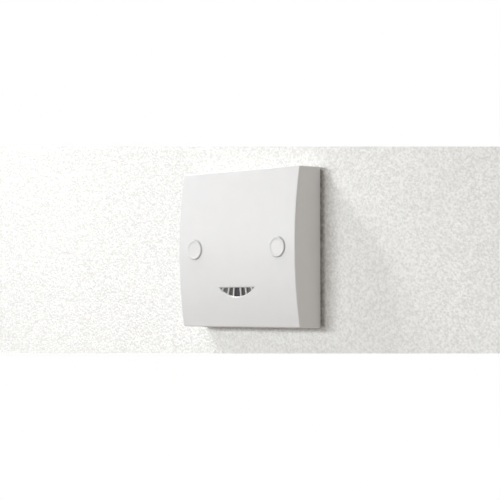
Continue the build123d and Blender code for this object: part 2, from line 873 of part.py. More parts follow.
with BuildPart() as antenna_patches:
    with BuildSketch(room(antenna_face)):
        with Locations(antenna_place):
            with GridLocations(*patch_pitch, 2, 2):
                Rectangle(*patch_size)
            with GridLocations(0, patch_pitch[1], 1, 2):
                Rectangle(patch_pitch[0], patch_feed_width)
    extrude(amount=patch_thickness)
save(antenna_patches, "antenna_patches")

with BuildPart() as shield_can:
    with BuildSketch(room(control_board_face)):
        with Locations(antenna_place):
            RectangleRounded(shield_size[0], shield_size[1], shield_corner_radius)
    extrude(amount=shield_size[2])
    offset(amount=-shield_sheet, openings=shield_can.faces().sort_by(Axis.Y).first)
save(shield_can, "shield_can")

with BuildPart() as antenna_header:
    with BuildSketch(room(control_board_face)):
        with Locations(antenna_header_place):
            Rectangle(*antenna_header_size)
    extrude(amount=antenna_back - control_board_face)
    with BuildSketch(room(antenna_back)):
        with Locations(antenna_header_place):
            with GridLocations(link_pin_pitch, 0, antenna_pin_count, 1):
                Rectangle(link_pin_width, link_pin_width)
    extrude(amount=antenna_thickness + link_pin_reach)
save(antenna_header, "antenna_header")

# Parts on the control board
processor_place = (processor_x, control_board_low + processor_rise)
save(moulded_block(processor_size, processor_place, control_board_face, 1), "processor")

with BuildPart() as crystal:
    with BuildSketch(room(control_board_face)):
        with Locations((crystal_x, control_board_low + crystal_rise)):
            SlotOverall(crystal_size[0], crystal_size[1])
    extrude(amount=crystal_size[2])
    chamfer(crystal.faces().sort_by(Axis.Y).first.edges(), moulding_edge)
save(crystal, "crystal")

with BuildPart() as surface_chips:
    with BuildSketch(room(control_board_face)):
        with Locations((chips_x, control_board_low + chips_rise)):
            with GridLocations(*chip_pitch, chip_columns, chip_rows):
                Rectangle(chip_size[0], chip_size[1])
    extrude(amount=chip_size[2])
save(surface_chips, "surface_chips")


# Parts that look out through the smile
def domed_bulb(radius, across):
    """A clear round-ended bulb with a collar at its foot."""
    place = (across, window_parts_z)
    height = window_part_height
    collar_radius = radius + bulb_collar_width
    with BuildPart() as bulb:
        with BuildSketch(lathe(place, control_board_face, 1)):
            with BuildLine():
                Polyline(
                    (0, height),
                    (0, 0),
                    (collar_radius, 0),
                    (collar_radius, bulb_collar_height),
                    (radius, bulb_collar_height),
                    (radius, height - radius),
                )
                ThreePointArc(*dome_arc(radius, height - radius, height))
            make_face()
        revolve(axis=spin(place))
    return bulb


save(domed_bulb(light_sensor_radius, light_sensor_x), "light_sensor")
save(domed_bulb(status_light_radius, 0), "status_light")

infrared_body = window_part_height - infrared_dome_radius

with BuildPart() as infrared_receiver:
    with BuildSketch(room(control_board_face)):
        with Locations((infrared_receiver_x, window_parts_z)):
            Rectangle(*infrared_receiver_size)
    extrude(amount=infrared_body)
    with Locations((infrared_receiver_x, -control_board_face - infrared_body, window_parts_z)):
        Sphere(infrared_dome_radius)
save(infrared_receiver, "infrared_receiver")
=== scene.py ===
# %% [markdown]
# # A microwave presence sensor on a plaster wall
# The real thing is a white moulded cover on a single-gang wall box, with two
# press-in caps over its fixing screws and a small smoked window that looks like
# a smile. The measured solids come ready made. This file dresses them: it adds
# the wall, the light, the finishes and the fine metalwork that solids leave out.

# %% Load the measured solids
import math

import bmesh
import bpy
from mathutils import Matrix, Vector


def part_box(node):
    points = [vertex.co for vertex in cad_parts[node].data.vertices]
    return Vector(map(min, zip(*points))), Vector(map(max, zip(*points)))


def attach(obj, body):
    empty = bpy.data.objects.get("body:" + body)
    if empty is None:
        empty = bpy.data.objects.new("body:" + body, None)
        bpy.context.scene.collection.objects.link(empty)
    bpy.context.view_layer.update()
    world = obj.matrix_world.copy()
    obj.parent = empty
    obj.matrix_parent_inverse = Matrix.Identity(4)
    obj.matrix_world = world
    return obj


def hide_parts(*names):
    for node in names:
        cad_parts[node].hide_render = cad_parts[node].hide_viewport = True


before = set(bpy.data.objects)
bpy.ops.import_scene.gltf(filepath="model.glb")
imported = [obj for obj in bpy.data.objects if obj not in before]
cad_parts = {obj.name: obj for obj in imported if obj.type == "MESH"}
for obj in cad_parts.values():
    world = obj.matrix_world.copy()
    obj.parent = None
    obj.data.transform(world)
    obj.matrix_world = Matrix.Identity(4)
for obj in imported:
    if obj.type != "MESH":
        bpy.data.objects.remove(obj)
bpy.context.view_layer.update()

MM = 0.001

# %% [markdown]
# ## The camera
# The photograph was taken from the right and a little below, through a long
# lens. Both were worked out from the plate's corners and the places of the two
# caps, so the camera only has to be put there. A direction is easier to think
# of as a turn about the upright and a tilt, and Blender's track quaternion turns
# such a direction into a rotation with no roll.

# %% Place the camera
CAMERA_PLACE = Vector((508.5, -576.9, -31.7)) * MM
CAMERA_TURN = math.radians(41.805)
CAMERA_TILT = math.radians(2.34)
FOCAL_PIXELS = 1394.4
PICTURE_PIXELS = 500
SENSOR_WIDTH = 36.0
NEAREST_SEEN = 0.01


def put_in_scene(name, data):
    """A new object that shows this camera, lamp or mesh."""
    made = bpy.data.objects.new(name, data)
    bpy.context.scene.collection.objects.link(made)
    return made


def aim(thing, direction):
    """Turn a camera or a lamp to face along a direction."""
    thing.rotation_euler = direction.to_track_quat("-Z", "Y").to_euler()


camera_data = bpy.data.cameras.new("camera")
camera_data.sensor_width = SENSOR_WIDTH
camera_data.lens = FOCAL_PIXELS * SENSOR_WIDTH / PICTURE_PIXELS
camera_data.clip_start = NEAREST_SEEN
camera = put_in_scene("camera", camera_data)
camera.location = CAMERA_PLACE
looking = Vector((
    -math.sin(CAMERA_TURN) * math.cos(CAMERA_TILT),
    math.cos(CAMERA_TURN) * math.cos(CAMERA_TILT),
    math.sin(CAMERA_TILT),
))
aim(camera, looking)
bpy.context.scene.camera = camera
bpy.context.scene.view_settings.view_transform = "Standard"
print("lens in mm:", round(camera_data.lens, 1))

# %% [markdown]
# ## The light
# Two lights make the photograph. A lamp high on the left, almost in the plane
# of the wall, rakes across the plaster and throws the long faint shadow to the
# lower right. A wide, low source in front on the left lights the face and leaves
# the narrow band of shade beside the plate. The rest of the room is an even,
# slightly warm glow from the world, and a weak fill from the right lifts the
# plate's side. Area lamps are used because their size sets how soft the shadow
# edge is, and their spread sets how fast the light falls off beside the line
# they are aimed along. The last one stands behind the wall and is only there for
# views of the back.

# %% Hang the lamps
MIDDLE = (0.0, 0.0, 0.0)


def hang_lamp(name, place, target, size, power, colour, spread=180):
    """Hang an area lamp, with its size in metres and its spread in degrees."""
    lamp_data = bpy.data.lights.new(name, "AREA")
    lamp_data.shape = "RECTANGLE"
    lamp_data.size, lamp_data.size_y = size
    lamp_data.energy = power
    lamp_data.color = colour
    lamp_data.spread = math.radians(spread)
    lamp = put_in_scene(name, lamp_data)
    lamp.location = place
    aim(lamp, Vector(target) - Vector(place))
    lamp.visible_camera = False
    print("lamp:", name, "watts:", power)


hang_lamp(
    "raking_lamp",
    place=(-0.72, -0.21, 0.78),
    target=(-0.16, 0.0, 0.05),
    size=(0.25, 0.25),
    power=0.50,
    colour=(0.985, 0.99, 1.0),
    spread=36,
)
hang_lamp(
    "front_softbox",
    place=(-0.30, -0.85, 0.08),
    target=MIDDLE,
    size=(0.42, 0.10),
    power=4.3,
    colour=(0.95, 0.975, 1.0),
)
hang_lamp(
    "side_fill",
    place=(0.9, -0.42, -0.05),
    target=MIDDLE,
    size=(0.3, 0.3),
    power=0.74,
    colour=(1.0, 0.89, 0.83),
)
hang_lamp(
    "rear_softbox",
    place=(0.4, 1.4, 0.4),
    target=MIDDLE,
    size=(1.0, 1.0),
    power=5.0,
    colour=(1.0, 0.99, 0.98),
)

# %% [markdown]
# ## The room's glow
# The world lights everything from all sides. Where the camera looks past the
# wall it should see clean white paper, which is brighter than the glow that
# suits the object. Light Path tells which ray is asking. Rays from the camera,
# from a mirror-like surface or through a clear one see the paper, so metal and
# resin show the same background, and all other rays get the plain level.
# Four small helpers come first: one does a sum, one mixes two shaders, one
# picks out the rays that see, and one makes light of a single colour.

# %% Light the world
GLOW_COLOUR = (1.0, 0.945, 0.895)
GLOW_STRENGTH = 0.35
PAPER_COLOUR = (1.0, 1.0, 1.0)
PAPER_STRENGTH = 1.0


def math_node(tree, operation, first, second=0.0):
    """The result of one sum, of which each part is a number or another result."""
    node = tree.nodes.new("ShaderNodeMath")
    node.operation = operation
    for socket, value in zip(node.inputs, (first, second)):
        if isinstance(value, float):
            socket.default_value = value
        else:
            tree.links.new(value, socket)
    return node.outputs["Value"]


def mix_shaders(tree, share, first, second):
    """The first shader where the share is nought and the second where it is one."""
    mixer = tree.nodes.new("ShaderNodeMixShader")
    for socket, source in zip(mixer.inputs, (share, first, second)):
        tree.links.new(source, socket)
    return mixer.outputs["Shader"]


def seen_rays(tree):
    """One for rays that a viewer would see along, nought for the rest."""
    ray_kind = tree.nodes.new("ShaderNodeLightPath")
    seen = ray_kind.outputs["Is Camera Ray"]
    for kind in ("Is Glossy Ray", "Is Transmission Ray"):
        seen = math_node(tree, "MAXIMUM", seen, ray_kind.outputs[kind])
    return seen


def background(tree, colour, strength):
    """Light of one colour from all sides."""
    node = tree.nodes.new("ShaderNodeBackground")
    node.inputs["Color"].default_value = (*colour, 1.0)
    node.inputs["Strength"].default_value = strength
    return node.outputs["Background"]


world = bpy.data.worlds.new("room")
bpy.context.scene.world = world
world.use_nodes = True
world_tree = world.node_tree
world_tree.nodes.clear()
glow = background(world_tree, GLOW_COLOUR, GLOW_STRENGTH)
paper = background(world_tree, PAPER_COLOUR, PAPER_STRENGTH)
room_light = mix_shaders(world_tree, seen_rays(world_tree), glow, paper)
world_output = world_tree.nodes.new("ShaderNodeOutputWorld")
world_tree.links.new(room_light, world_output.inputs["Surface"])
print("glow:", GLOW_STRENGTH, "paper:", PAPER_STRENGTH)

# %% [markdown]
# ## Helpers for finishes
# Every finish below is the Principled shader with three things laid over it: a
# slight change of colour, a slight change of roughness and a fine relief. All
# three come from noise that is fixed to the piece by its Object coordinates, so
# it stays put when the piece moves. What is the same all over a surface is
# typed straight into the shader. Noise stays near its middle value, so it is
# stretched before it is used.

# %% Write the helpers
NOISE_LOW = 0.3
NOISE_HIGH = 0.7


def new_finish(name, roughness, metallic=0.0):
    """A material with its node tree and its Principled shader."""
    material = bpy.data.materials.new(name)
    material.use_nodes = True
    shader = material.node_tree.nodes["Principled BSDF"]
    shader.inputs["Roughness"].default_value = roughness
    shader.inputs["Metallic"].default_value = metallic
    return material, material.node_tree, shader


def grain(tree, size, detail=2.0, stretch=(1.0, 1.0, 1.0)):
    """Noise fixed to the piece, with grains about this many metres across."""
    coordinates = tree.nodes.new("ShaderNodeTexCoord")
    stretcher = tree.nodes.new("ShaderNodeMapping")
    stretcher.inputs["Scale"].default_value = stretch
    noise = tree.nodes.new("ShaderNodeTexNoise")
    noise.inputs["Scale"].default_value = 1.0 / size
    noise.inputs["Detail"].default_value = detail
    tree.links.new(coordinates.outputs["Object"], stretcher.inputs["Vector"])
    tree.links.new(stretcher.outputs["Vector"], noise.inputs["Vector"])
    return noise.outputs["Fac"]


def remap(tree, value, low, high, start=NOISE_LOW, end=NOISE_HIGH):
    """Run from low to high as the value goes from start to end."""
    ranger = tree.nodes.new("ShaderNodeMapRange")
    ranger.inputs["From Min"].default_value = start
    ranger.inputs["From Max"].default_value = end
    ranger.inputs["To Min"].default_value = low
    ranger.inputs["To Max"].default_value = high
    tree.links.new(value, ranger.inputs["Value"])
    return ranger.outputs["Result"]


def relief(tree, shader, value, height):
    """Raise the surface by up to this many metres where the value is high."""
    bump = tree.nodes.new("ShaderNodeBump")
    bump.inputs["Distance"].default_value = height
    tree.links.new(value, bump.inputs["Height"])
    tree.links.new(bump.outputs["Normal"], shader.inputs["Normal"])


print("noise is used from", NOISE_LOW, "to", NOISE_HIGH)

# %% [markdown]
# The Mix node can mix numbers, vectors or colours, and has sockets of the same
# name for each kind. A socket's number tells them apart, so the numbers of the
# colour sockets are kept here.

# %% Mix colours
MIX_SHARE = 0
MIX_FIRST_COLOUR = 6
MIX_SECOND_COLOUR = 7
MIX_RESULT_COLOUR = 2


def blend_colours(tree, value, first, second):
    """A colour that runs from the first to the second as the value goes from 0 to 1."""
    mixer = tree.nodes.new("ShaderNodeMix")
    mixer.data_type = "RGBA"
    mixer.clamp_factor = True
    for number, colour in ((MIX_FIRST_COLOUR, first), (MIX_SECOND_COLOUR, second)):
        if isinstance(colour, tuple):
            mixer.inputs[number].default_value = (*colour, 1.0)
        else:
            tree.links.new(colour, mixer.inputs[number])
    tree.links.new(value, mixer.inputs[MIX_SHARE])
    return mixer.outputs[MIX_RESULT_COLOUR]


def tint(colour, share):
    """A colour made darker or lighter by a share of itself."""
    return tuple(min(1.0, channel * (1.0 + share)) for channel in colour)


print("half grey made a tenth darker:", tint((0.5, 0.5, 0.5), -0.1))

# %% [markdown]
# ## The plaster wall
# The wall is a stage, not a part of the object. Its plaster was stippled with a
# brush, so it is covered in blunt grains of about a millimetre. Under a raking
# lamp each grain throws a shadow of its own, which a bump can't do, so the grains
# are true displacement: the wall is a fine grid, and the noise in its material
# moves the grid's points. The same noise darkens the hollows a little, as painted
# shade in them.

# %% Mix the plaster
PLASTER = (0.962, 0.966, 0.948)
HOLLOW_SHADE = (0.785, 0.785, 0.76)
GRAIN_SIZE = 1.15 * MM
GRAIN_HEIGHT = 0.70 * MM
GRAIN_MIDDLE = 0.5
HOLLOW_DEEPEST = 0.34
HOLLOW_EDGE = 0.64

wall_finish, wall_tree, wall_shader = new_finish("plaster", roughness=0.85)
wall_output = wall_tree.nodes["Material Output"]
grains = grain(wall_tree, GRAIN_SIZE, detail=3.0)
# Painted shade: where the noise is low, the hollows between the grains are coloured darker.
hollows = remap(wall_tree, grains, 1.0, 0.0, HOLLOW_DEEPEST, HOLLOW_EDGE)
plaster_with_hollow_shade = blend_colours(wall_tree, hollows, PLASTER, HOLLOW_SHADE)
raised = wall_tree.nodes.new("ShaderNodeDisplacement")
raised.inputs["Midlevel"].default_value = GRAIN_MIDDLE
raised.inputs["Scale"].default_value = GRAIN_HEIGHT
wall_tree.links.new(grains, raised.inputs["Height"])
wall_tree.links.new(raised.outputs["Displacement"], wall_output.inputs["Displacement"])
wall_finish.displacement_method = "BOTH"
print("grains in mm:", round(GRAIN_SIZE / MM, 2), "wide and up to", round(GRAIN_HEIGHT / MM, 2), "high")

# %% [markdown]
# Seen from behind, the wall turns clear, so that the back of the object can be
# looked at. Backfacing says which side of the wall a ray meets, and a
# transparent shader takes over on the back.

# %% Clear the back of the wall
wall_sides = wall_tree.nodes.new("ShaderNodeNewGeometry")
clear = wall_tree.nodes.new("ShaderNodeBsdfTransparent")
wall_surface = mix_shaders(
    wall_tree,
    wall_sides.outputs["Backfacing"],
    wall_shader.outputs["BSDF"],
    clear.outputs["BSDF"],
)
wall_tree.links.new(wall_surface, wall_output.inputs["Surface"])
print("front:", wall_shader.name, "back:", clear.name)

# %% [markdown]
# Along the plate's right edge the plaster is painted darker, as painted shade in
# the joint where the plate doesn't quite touch the wall. The wall's own X and Z
# say where the joint is. Three masks are multiplied: one fades away from the
# plate, one ends at its corners and one is noise, which leaves the line uneven.

# %% Paint shade into the joint
CONTACT_SHADE = (0.33, 0.315, 0.30)
JOINT_FULL = 1.0 * MM
JOINT_GONE = 3.1 * MM
JOINT_END = 1.5 * MM
JOINT_PATCH = 2.2 * MM
JOINT_FAINTEST = 0.5


def split_axes(tree, kind="Object"):
    """The X, Y and Z of a piece's own coordinates, or of another kind of them."""
    coordinates = tree.nodes.new("ShaderNodeTexCoord")
    splitter = tree.nodes.new("ShaderNodeSeparateXYZ")
    tree.links.new(coordinates.outputs[kind], splitter.inputs["Vector"])
    return splitter.outputs


_, plate_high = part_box("front_cover")
wall_axes = split_axes(wall_tree)
beyond_plate = math_node(wall_tree, "SUBTRACT", wall_axes["X"], plate_high.x)
from_joint = math_node(wall_tree, "ABSOLUTE", beyond_plate)
from_middle = math_node(wall_tree, "ABSOLUTE", wall_axes["Z"])
near_plate = remap(wall_tree, from_joint, 1.0, 0.0, JOINT_FULL, JOINT_GONE)
beside_plate = remap(wall_tree, from_middle, 1.0, 0.0, plate_high.z - JOINT_END, plate_high.z)
uneven = remap(wall_tree, grain(wall_tree, JOINT_PATCH), JOINT_FAINTEST, 1.0)
joint = math_node(wall_tree, "MULTIPLY", near_plate, beside_plate)
joint = math_node(wall_tree, "MULTIPLY", joint, uneven)
# Painted shade: the plaster just right of the plate is coloured dark, for the shade in the joint.
plaster_with_contact_shade = blend_colours(wall_tree, joint, plaster_with_hollow_shade, CONTACT_SHADE)
wall_tree.links.new(plaster_with_contact_shade, wall_shader.inputs["Base Color"])
print("joint at x in mm:", round(plate_high.x / MM, 2))

# %% [markdown]
# The photograph shows only a strip of the wall on a white page. Rays through the
# four corners of that strip give its outline on the wall. The plate rests on the
# tops of the grains, so the wall's middle level is a little behind it and an
# uneven dark line shows along the plate's edge.

# %% Find the corners of the wall
WALL_GAP = 0.6 * MM
STRIP_TOP = 146.5
STRIP_BOTTOM = 353.5
STRIP_LEFT = -60
STRIP_RIGHT = 560


def on_the_wall(across, down):
    """The point of the wall that the photograph shows at this pixel."""
    middle = PICTURE_PIXELS / 2
    ray = Vector(((across - middle) / FOCAL_PIXELS, (middle - down) / FOCAL_PIXELS, -1.0))
    ray.rotate(camera.rotation_euler)
    return CAMERA_PLACE + ray * (WALL_GAP - CAMERA_PLACE.y) / ray.y


low_left = on_the_wall(STRIP_LEFT, STRIP_BOTTOM)
low_right = on_the_wall(STRIP_RIGHT, STRIP_BOTTOM)
top_left = on_the_wall(STRIP_LEFT, STRIP_TOP)
top_right = on_the_wall(STRIP_RIGHT, STRIP_TOP)
print("wall from x in mm:", round(low_left.x / MM), "to", round(low_right.x / MM))

# %% [markdown]
# A fine grid fills the outline, because displacement can only move points that
# are there. A square hole in its middle, hidden by the plate, stands for the
# opening of the wall box, and its size is kept as half of its width.

# %% Build the wall
HALF_OPENING = 38 * MM
GRID_STEP = 0.5 * MM

columns = int((low_right.x - low_left.x) / GRID_STEP)
rows = int((top_right.z - low_right.z) / GRID_STEP)
wall_points = []
for column in range(columns + 1):
    foot = low_left.lerp(low_right, column / columns)
    head = top_left.lerp(top_right, column / columns)
    wall_points += [foot.lerp(head, row / rows) for row in range(rows + 1)]
wall_faces = []
for column in range(columns):
    for row in range(rows):
        first = column * (rows + 1) + row
        point = wall_points[first]
        if max(abs(point.x), abs(point.z)) > HALF_OPENING:
            wall_faces.append((first, first + rows + 1, first + rows + 2, first + 1))
wall_mesh = bpy.data.meshes.new("wall")
wall_mesh.from_pydata(wall_points, [], wall_faces)
wall_mesh.materials.append(wall_finish)
wall_mesh.shade_smooth()
wall = put_in_scene("wall", wall_mesh)
print("wall points:", len(wall_points))

# %% [markdown]
# ## Cover and caps
# The cover is moulded in satin white. Its texture is far too fine to see as
# relief across a room, but it spreads the highlight, and close up it is what
# makes the surface look moulded and not painted. The caps come from a more
# polished tool, so a brighter line of light runs round the dish in each. The
# helper serves every moulded piece of the object: the noise is the spark-eroded
# texture of the tool, and a much larger noise is the faint mottle that plastic
# has where it flowed.

# %% Finish the cover and the caps
COVER_WHITE = (0.74, 0.74, 0.735)
CAP_WHITE = (0.75, 0.75, 0.745)
MOTTLE_SIZE = 9 * MM
GLOSS_SWING = 0.06
FINE_TEXTURE = 0.3 * MM


def moulded(name, colour, roughness, texture, height, shade):
    """Moulded plastic, with the size and height of its texture and its change of shade."""
    material, tree, shader = new_finish(name, roughness)
    mottle = remap(tree, grain(tree, MOTTLE_SIZE), 0.0, 1.0)
    colours = blend_colours(tree, mottle, tint(colour, -shade), tint(colour, shade))
    tree.links.new(colours, shader.inputs["Base Color"])
    fine = grain(tree, texture, detail=3.0)
    gloss = remap(tree, fine, roughness - GLOSS_SWING, roughness + GLOSS_SWING)
    tree.links.new(gloss, shader.inputs["Roughness"])
    relief(tree, shader, fine, height)
    return material


cover_finish = moulded(
    "cover_white",
    colour=COVER_WHITE,
    roughness=0.42,
    texture=FINE_TEXTURE,
    height=0.004 * MM,
    shade=0.008,
)
cap_finish = moulded(
    "cap_white",
    colour=CAP_WHITE,
    roughness=0.34,
    texture=FINE_TEXTURE,
    height=0.002 * MM,
    shade=0.006,
)
print("finishes:", cover_finish.name, cap_finish.name)

# %% [markdown]
# ## The smoked window
# The lens is plastic with a smoke dye. It hides the parts behind it and still
# lets them see out. Light goes in, is soaked up on the way and only a little
# comes back, so from outside it is a dark tint below a polished surface. Near
# the ends it is painted lighter, as painted light from the white hood behind
# it. Faint ripples from the mould keep it from looking like glass.

# %% Finish the lens
SMOKE_MIDDLE = (0.045, 0.040, 0.048)
SMOKE_ENDS_WITH_HOOD_LIGHT = (0.155, 0.150, 0.140)
SMOKE_FULL = 2.5 * MM
HOOD_LIGHT_FULL = 9.5 * MM
LENS_RIPPLE = 1.2 * MM
LENS_RIPPLE_HEIGHT = 0.004 * MM

lens_finish, lens_tree, lens_shader = new_finish("smoked_lens", roughness=0.12)
lens_across = math_node(lens_tree, "ABSOLUTE", split_axes(lens_tree)["X"])
# Painted light: the colour gets lighter towards the ends, for the lit hood seen through the smoke.
hood_light_share = remap(lens_tree, lens_across, 0.0, 1.0, SMOKE_FULL, HOOD_LIGHT_FULL)
lens_colour = blend_colours(lens_tree, hood_light_share, SMOKE_MIDDLE, SMOKE_ENDS_WITH_HOOD_LIGHT)
lens_tree.links.new(lens_colour, lens_shader.inputs["Base Color"])
relief(lens_tree, lens_shader, grain(lens_tree, LENS_RIPPLE), LENS_RIPPLE_HEIGHT)
print("finish:", lens_finish.name)

# %% [markdown]
# ## Housing and terminal block
# Nobody sees these once the plate is on the wall, so their moulds have a coarser
# texture and no polish. The terminal block is glass-filled, which leaves faint
# darker patches.

# %% Finish the housing and the terminal block
housing_finish = moulded(
    "housing_white",
    colour=(0.72, 0.72, 0.70),
    roughness=0.55,
    texture=0.5 * MM,
    height=0.02 * MM,
    shade=0.012,
)
terminal_finish = moulded(
    "terminal_grey",
    colour=(0.26, 0.275, 0.29),
    roughness=0.5,
    texture=0.4 * MM,
    height=0.015 * MM,
    shade=0.06,
)
print("finishes:", housing_finish.name, terminal_finish.name)

# %% [markdown]
# ## Circuit boards
# A board is green lacquer over copper. Voronoi cells measured the square way cut
# the board into blocks with straight sides, and each cell has a random number of
# its own. It says whether the tracks in that block run across, run up, or are
# one whole sheet of copper.

# %% Draw the copper tracks
BLOCK_SIZE = 8 * MM
BLOCK_SPREAD = 0.8
TRACK_PITCH = 0.9 * MM
TRACK_SHARE = 0.5
ACROSS_BELOW = 0.4
SHEET_ABOVE = 0.8


def cells(tree, place, size, metric, spread):
    """Random cells: how far a point is from the middle of its cell, and the cell's number."""
    voronoi = tree.nodes.new("ShaderNodeTexVoronoi")
    voronoi.voronoi_dimensions = "2D"
    voronoi.distance = metric
    voronoi.inputs["Scale"].default_value = 1.0 / size
    voronoi.inputs["Randomness"].default_value = spread
    tree.links.new(place, voronoi.inputs["Vector"])
    number = tree.nodes.new("ShaderNodeSeparateColor")
    tree.links.new(voronoi.outputs["Color"], number.inputs["Color"])
    return voronoi.outputs["Distance"], number.outputs["Red"]


def stripes(tree, place, pitch, share):
    """One on the stripes and nought between them."""
    turns = math_node(tree, "DIVIDE", place, pitch)
    phase = math_node(tree, "FRACT", turns)
    return math_node(tree, "LESS_THAN", phase, share)


board_finish, board_tree, board_shader = new_finish("board_green", roughness=0.3)
board_axes = split_axes(board_tree)
board_flat = board_tree.nodes.new("ShaderNodeCombineXYZ")
board_tree.links.new(board_axes["X"], board_flat.inputs["X"])
board_tree.links.new(board_axes["Z"], board_flat.inputs["Y"])
board_place = board_flat.outputs["Vector"]

_, block = cells(board_tree, board_place, BLOCK_SIZE, "CHEBYCHEV", BLOCK_SPREAD)
across = stripes(board_tree, board_axes["Z"], TRACK_PITCH, TRACK_SHARE)
upward = stripes(board_tree, board_axes["X"], TRACK_PITCH, TRACK_SHARE)
is_across = math_node(board_tree, "LESS_THAN", block, ACROSS_BELOW)
is_upward = math_node(board_tree, "GREATER_THAN", block, ACROSS_BELOW)
is_sheet = math_node(board_tree, "GREATER_THAN", block, SHEET_ABOVE)
runs_across = math_node(board_tree, "MULTIPLY", across, is_across)
runs_up = math_node(board_tree, "MULTIPLY", upward, is_upward)
tracks = math_node(board_tree, "MAXIMUM", runs_across, runs_up)
copper = math_node(board_tree, "MAXIMUM", tracks, is_sheet)
print("track pitch in mm:", round(TRACK_PITCH / MM, 2))

# %% [markdown]
# A finer Voronoi scatters tinned pads with a drilled hole. Its round distance
# gives both circles, and the cell's number leaves some cells without a pad.

# %% Scatter the pads
PAD_SPACING = 2.6 * MM
PAD_SPREAD = 0.6
PAD_ABOVE = 0.55
PAD_RADIUS = 0.42 * MM
DRILL_RADIUS = 0.18 * MM

pad_distance, pad = cells(board_tree, board_place, PAD_SPACING, "EUCLIDEAN", PAD_SPREAD)
chosen = math_node(board_tree, "GREATER_THAN", pad, PAD_ABOVE)
on_pad = math_node(board_tree, "LESS_THAN", pad_distance, PAD_RADIUS / PAD_SPACING)
in_drill = math_node(board_tree, "LESS_THAN", pad_distance, DRILL_RADIUS / PAD_SPACING)
pads = math_node(board_tree, "MULTIPLY", on_pad, chosen)
drills = math_node(board_tree, "MULTIPLY", in_drill, chosen)
print("pad in mm:", round(2 * PAD_RADIUS / MM, 2), "hole in mm:", round(2 * DRILL_RADIUS / MM, 2))

# %% [markdown]
# Where copper runs below the lacquer it looks a little lighter and stands a
# little higher. The edge of a board is bare laminate with its glass fibres
# showing, and the Normal tells it from the two faces.

# %% Colour the boards
BOARD_GREEN = (0.016, 0.105, 0.046)
TRACK_GREEN = (0.034, 0.180, 0.076)
PAD_TIN = (0.60, 0.59, 0.54)
HOLE_SHADE = (0.02, 0.02, 0.02)
LAMINATE = (0.34, 0.33, 0.15)
FIBRE_SHADE = -0.2
FIBRE_SIZE = 0.4 * MM
FIBRE_STRETCH = (0.2, 3.0, 0.2)
FACE_ABOVE = 0.5
COPPER_HEIGHT = 0.03 * MM

facing_wall = math_node(board_tree, "ABSOLUTE", split_axes(board_tree, "Normal")["Y"])
on_face = math_node(board_tree, "GREATER_THAN", facing_wall, FACE_ABOVE)
lacquered = blend_colours(board_tree, copper, BOARD_GREEN, TRACK_GREEN)
tinned = blend_colours(board_tree, pads, lacquered, PAD_TIN)
# Painted shade: each drilled hole is coloured near black, for the shade inside it.
bored = blend_colours(board_tree, drills, tinned, HOLE_SHADE)
weave = grain(board_tree, FIBRE_SIZE, stretch=FIBRE_STRETCH)
fibres = blend_colours(board_tree, weave, tint(LAMINATE, FIBRE_SHADE), LAMINATE)
board_colours = blend_colours(board_tree, on_face, fibres, bored)
board_tree.links.new(board_colours, board_shader.inputs["Base Color"])
bare_metal = math_node(board_tree, "MULTIPLY", pads, on_face)
board_tree.links.new(bare_metal, board_shader.inputs["Metallic"])
copper_or_pad = math_node(board_tree, "MAXIMUM", copper, pads)
raised_copper = math_node(board_tree, "MULTIPLY", copper_or_pad, on_face)
relief(board_tree, board_shader, raised_copper, COPPER_HEIGHT)
print("finish:", board_finish.name, "with", len(board_tree.nodes), "nodes")

# %% [markdown]
# ## Metals
# Screws and clamp cages are steel with bright zinc, the contacts are brass, the
# antenna patches are copper under a gilt coat, and the shield and the crystal's
# can are tinned sheet.
# The shader's metallic value is set to one for all of them. What tells them
# apart is the colour, the roughness and the direction of the marks: noise that
# is squeezed one way gives the rings of a lathe or the lines of a rolling mill.

# %% Finish the metals
TURNED = (1.0, 6.0, 1.0)
ROLLED = (0.15, 1.0, 1.0)
MARK_SIZE = 0.25 * MM
MARK_HEIGHT = 0.003 * MM
WEAR_SIZE = 2.5 * MM
WORN_SHADE = -0.10
BRIGHT_SHADE = 0.04
SMOOTHER = -0.08
ROUGHER = 0.12


def metal(name, colour, roughness, stretch):
    """Bare or plated metal: fine marks, drawn out where the stretch is small."""
    material, tree, shader = new_finish(name, roughness, metallic=1.0)
    marks = grain(tree, MARK_SIZE, detail=4.0, stretch=stretch)
    worn = remap(tree, grain(tree, WEAR_SIZE), 0.0, 1.0)
    colours = blend_colours(tree, worn, tint(colour, WORN_SHADE), tint(colour, BRIGHT_SHADE))
    tree.links.new(colours, shader.inputs["Base Color"])
    gloss = remap(tree, marks, roughness + SMOOTHER, roughness + ROUGHER)
    tree.links.new(gloss, shader.inputs["Roughness"])
    relief(tree, shader, marks, MARK_HEIGHT)
    return material


zinc_finish = metal("zinc_plate", (0.72, 0.73, 0.75), roughness=0.30, stretch=TURNED)
brass_finish = metal("bare_brass", (0.78, 0.60, 0.28), roughness=0.32, stretch=ROLLED)
gilt_finish = metal("gilt_copper", (0.86, 0.62, 0.30), roughness=0.28, stretch=ROLLED)
tin_finish = metal("tinned_sheet", (0.76, 0.77, 0.78), roughness=0.36, stretch=ROLLED)
print("metals:", zinc_finish.name, brass_finish.name, gilt_finish.name, tin_finish.name)

# %% [markdown]
# ## Board parts
# Each electronic part has the case it is sold in: black epoxy for chips, yellow
# film for the mains capacitor, a dark sleeve on the round capacitors, a blue dip
# on the varistor, and dull ground ceramic for the transformer's core. The same
# moulded finish with another colour, texture and gloss does for all of them, so
# a table of numbers is enough.

